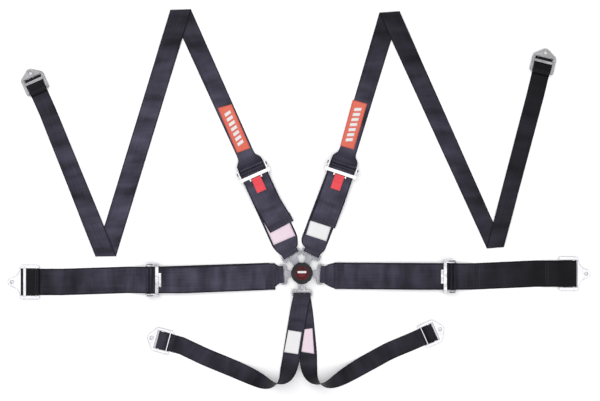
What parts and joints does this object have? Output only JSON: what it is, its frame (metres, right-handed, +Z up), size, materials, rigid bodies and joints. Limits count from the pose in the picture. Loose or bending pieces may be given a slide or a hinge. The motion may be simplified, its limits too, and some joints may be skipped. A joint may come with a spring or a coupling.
{
  "type": "racing harness",
  "caption": "Racing harness with shoulder, lap and crotch straps on a central cam lock, with adjusters, latch tongues and bolt-in anchor brackets.",
  "frame": {"origin": "centre of the cam lock's underside, on the surface that the harness lies on", "axes": "+X along the lap straps to the right, +Y towards the shoulder straps, +Z up out of the lock's knob"},
  "size_m": [1.67, 1.0926, 0.05],
  "materials": {
    "lock_black": "satin",
    "emblem": "gloss",
    "bright_steel": "polished",
    "brushed_steel": "satin",
    "plated_steel": "zinc plated",
    "red_webbing": "woven",
    "red_patch": "woven patch",
    "label_white": "printed cloth, blank",
    "black_webbing": "woven webbing"
  },
  "bodies": {
    "cam_lock": {"lock_base": "lock_black", "lock_housing": "lock_black", "lock_post": "bright_steel", "lock_screws": "bright_steel", "fixed_tongue_pin": "bright_steel", "return_spring": "bright_steel", "lap_tongue_left": "brushed_steel", "lap_lower_web_left": "black_webbing"},
    "knob": {"release_knob": "lock_black", "knob_emblem": "emblem", "cam_rotor": "bright_steel"},
    "latch": {"latch_plate": "bright_steel"},
    "shoulder_base_left": {"shoulder_tongue_left": "brushed_steel", "shoulder_lower_web_left": "black_webbing", "shoulder_info_label_left": "label_white"},
    "shoulder_base_right": {"shoulder_tongue_right": "brushed_steel", "shoulder_lower_web_right": "black_webbing", "shoulder_info_label_right": "label_white"},
    "lap_base_right": {"lap_tongue_right": "brushed_steel", "lap_lower_web_right": "black_webbing"},
    "crotch_base": {"crotch_tongue": "brushed_steel", "crotch_upper_web_left": "black_webbing", "crotch_lower_web_left": "black_webbing", "crotch_upper_web_right": "black_webbing", "crotch_lower_web_right": "black_webbing", "crotch_info_labels": "label_white"},
    "shoulder_left_adjuster": {"shoulder_left_adjuster_frame": "bright_steel"},
    "shoulder_left_grip": {"shoulder_left_grip_bar": "bright_steel"},
    "shoulder_left_tab": {"shoulder_left_pull_tab": "red_webbing"},
    "shoulder_left_strap": {"shoulder_web_inner_left": "black_webbing", "shoulder_web_middle_left": "black_webbing", "shoulder_web_outer_left": "black_webbing", "shoulder_patch_left": "red_patch"},
    "shoulder_right_adjuster": {"shoulder_right_adjuster_frame": "bright_steel"},
    "shoulder_right_grip": {"shoulder_right_grip_bar": "bright_steel"},
    "shoulder_right_tab": {"shoulder_right_pull_tab": "red_webbing"},
    "shoulder_right_strap": {"shoulder_web_inner_right": "black_webbing", "shoulder_web_middle_right": "black_webbing", "shoulder_web_outer_right": "black_webbing", "shoulder_patch_right": "red_patch"},
    "lap_left_adjuster": {"lap_left_adjuster_frame": "bright_steel"},
    "lap_left_grip": {"lap_left_grip_bar": "bright_steel"},
    "lap_left_strap": {"lap_web_left": "black_webbing"},
    "lap_right_adjuster": {"lap_right_adjuster_frame": "bright_steel"},
    "lap_right_grip": {"lap_right_grip_bar": "bright_steel"},
    "lap_right_strap": {"lap_web_right": "black_webbing"},
    "shoulder_left_anchor": {"shoulder_left_bracket": "plated_steel"},
    "shoulder_right_anchor": {"shoulder_right_bracket": "plated_steel"},
    "lap_left_anchor": {"lap_left_bracket": "plated_steel"},
    "lap_right_anchor": {"lap_right_bracket": "plated_steel"},
    "crotch_left_anchor": {"crotch_left_bracket": "plated_steel"},
    "crotch_right_anchor": {"crotch_right_bracket": "plated_steel"}
  },
  "joints": [
    {"name": "knob_turn", "type": "hinge", "parent": "cam_lock", "child": "knob", "pos_m": [0, 0, 0.02], "axis": [0, 0, 1], "range_deg": [-60, 0]},
    {"name": "latch_drop", "type": "slide", "parent": "cam_lock", "child": "latch", "axis": [0, 0, 1], "range_m": [-0.0045, 0]},
    {"name": "shoulder_tongue_left_release", "type": "slide", "parent": "cam_lock", "child": "shoulder_base_left", "axis": [-0.515, 0.8572, 0], "range_m": [0, 0.04]},
    {"name": "shoulder_tongue_right_release", "type": "slide", "parent": "cam_lock", "child": "shoulder_base_right", "axis": [0.4384, 0.8988, 0], "range_m": [0, 0.04]},
    {"name": "lap_tongue_right_release", "type": "slide", "parent": "cam_lock", "child": "lap_base_right", "axis": [0.9976, -0.0698, 0], "range_m": [0, 0.04]},
    {"name": "crotch_tongue_release", "type": "slide", "parent": "cam_lock", "child": "crotch_base", "axis": [0, -1, 0], "range_m": [0, 0.04]},
    {"name": "shoulder_left_adjuster_tilt", "type": "hinge", "parent": "shoulder_base_left", "child": "shoulder_left_adjuster", "pos_m": [-0.1468, 0.30649, 0.0038], "axis": [-0.9135, -0.4067, 0], "range_deg": [0, 40]},
    {"name": "shoulder_left_grip_slide", "type": "slide", "parent": "shoulder_left_adjuster", "child": "shoulder_left_grip", "axis": [0.4067, -0.9135, 0], "range_m": [0, 0.003]},
    {"name": "shoulder_left_tab_lift", "type": "hinge", "parent": "shoulder_left_adjuster", "child": "shoulder_left_tab", "pos_m": [-0.13134, 0.27178, 0.0125], "axis": [-0.9135, -0.4067, 0], "range_deg": [0, 70]},
    {"name": "shoulder_left_length", "type": "slide", "parent": "shoulder_base_left", "child": "shoulder_left_strap", "axis": [-0.4067, 0.9135, 0], "range_m": [0, 0.06]},
    {"name": "shoulder_right_adjuster_tilt", "type": "hinge", "parent": "shoulder_base_right", "child": "shoulder_right_adjuster", "pos_m": [0.1202, 0.3145, 0.0038], "axis": [-0.9483, 0.3173, 0], "range_deg": [0, 40]},
    {"name": "shoulder_right_grip_slide", "type": "slide", "parent": "shoulder_right_adjuster", "child": "shoulder_right_grip", "axis": [-0.3173, -0.9483, 0], "range_m": [0, 0.003]},
    {"name": "shoulder_right_tab_lift", "type": "hinge", "parent": "shoulder_right_adjuster", "child": "shoulder_right_tab", "pos_m": [0.10814, 0.27847, 0.0125], "axis": [-0.9483, 0.3173, 0], "range_deg": [0, 70]},
    {"name": "shoulder_right_length", "type": "slide", "parent": "shoulder_base_right", "child": "shoulder_right_strap", "axis": [0.3173, 0.9483, 0], "range_m": [0, 0.06]},
    {"name": "lap_left_adjuster_tilt", "type": "hinge", "parent": "cam_lock", "child": "lap_left_adjuster", "pos_m": [-0.4445, -0.02, 0.0038], "axis": [0, -1, 0], "range_deg": [0, 40]},
    {"name": "lap_left_grip_slide", "type": "slide", "parent": "lap_left_adjuster", "child": "lap_left_grip", "axis": [1, 0, 0], "range_m": [0, 0.003]},
    {"name": "lap_left_length", "type": "slide", "parent": "cam_lock", "child": "lap_left_strap", "axis": [-1, 0, 0], "range_m": [0, 0.06]},
    {"name": "lap_right_adjuster_tilt", "type": "hinge", "parent": "lap_base_right", "child": "lap_right_adjuster", "pos_m": [0.4395, -0.01, 0.0038], "axis": [0, 1, 0], "range_deg": [0, 40]},
    {"name": "lap_right_grip_slide", "type": "slide", "parent": "lap_right_adjuster", "child": "lap_right_grip", "axis": [-1, 0, 0], "range_m": [0, 0.003]},
    {"name": "lap_right_length", "type": "slide", "parent": "lap_base_right", "child": "lap_right_strap", "axis": [1, 0, 0], "range_m": [0, 0.06]},
    {"name": "shoulder_left_anchor_swing", "type": "hinge", "parent": "shoulder_left_strap", "child": "shoulder_left_anchor", "pos_m": [-0.75904, 0.52819, 0.0038], "axis": [0.9135, 0.4067, 0], "range_deg": [0, 75]},
    {"name": "shoulder_right_anchor_swing", "type": "hinge", "parent": "shoulder_right_strap", "child": "shoulder_right_anchor", "pos_m": [0.68763, 0.58364, 0.0038], "axis": [0.9724, -0.2334, 0], "range_deg": [0, 75]},
    {"name": "lap_left_anchor_swing", "type": "hinge", "parent": "lap_left_strap", "child": "lap_left_anchor", "pos_m": [-0.762, -0.026, 0.0038], "axis": [0, 1, 0], "range_deg": [0, 75]},
    {"name": "lap_right_anchor_swing", "type": "hinge", "parent": "lap_right_strap", "child": "lap_right_anchor", "pos_m": [0.746, -0.002, 0.0038], "axis": [0, -1, 0], "range_deg": [0, 75]},
    {"name": "crotch_left_anchor_swing", "type": "hinge", "parent": "crotch_base", "child": "crotch_left_anchor", "pos_m": [-0.38368, -0.19865, 0.0038], "axis": [0.2588, 0.9659, 0], "range_deg": [0, 75]},
    {"name": "crotch_right_anchor_swing", "type": "hinge", "parent": "crotch_base", "child": "crotch_right_anchor", "pos_m": [0.35119, -0.18096, 0.0038], "axis": [0.4067, -0.9135, 0], "range_deg": [0, 75]}
  ],
  "couplings": [
    {"joint": "latch_drop", "follows": "knob_turn", "m_per_rad": 0.0042972}
  ]
}
